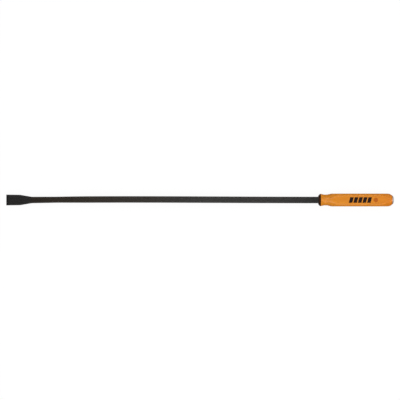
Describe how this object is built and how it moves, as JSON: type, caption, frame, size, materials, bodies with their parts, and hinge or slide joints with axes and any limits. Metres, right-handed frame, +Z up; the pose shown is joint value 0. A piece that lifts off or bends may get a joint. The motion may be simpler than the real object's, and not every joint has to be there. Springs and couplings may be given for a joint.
{
  "type": "pry bar",
  "caption": "Long straight pry bar: flared chisel blade on a square forged shaft, moulded flat-sided grip and a domed steel strike cap.",
  "frame": {"origin": "under the middle of the length, on the plane of the grip's lower flat; the bar's axis is 18.8 mm above it", "axes": "+X along the bar from the chisel edge to the strike cap, +Y across the width of the blade, +Z up out of the blade's face and the grip's printed flat"},
  "size_m": [1.143, 0.0376, 0.0376],
  "materials": {
    "black_steel": "black oxide on forged steel, satin",
    "bolster_steel": "black oxide on turned steel, satin",
    "grip_plastic": "moulded, glossy, opaque orange",
    "washer_plastic": "black, matte",
    "cap_steel": "turned, bright, unplated",
    "spring_steel": "plain spring steel",
    "black_ink": "hot-stamped film, satin",
    "brown_ink": "hot-stamped film, satin"
  },
  "bodies": {
    "root": {"pry_bar": "black_steel", "bolster": "bolster_steel", "grip": "grip_plastic", "cap_washer": "washer_plastic", "strike_cap": "cap_steel", "cap_pin": "spring_steel", "printed_stripes": "black_ink", "printed_dot": "brown_ink"}
  },
  "joints": []
}
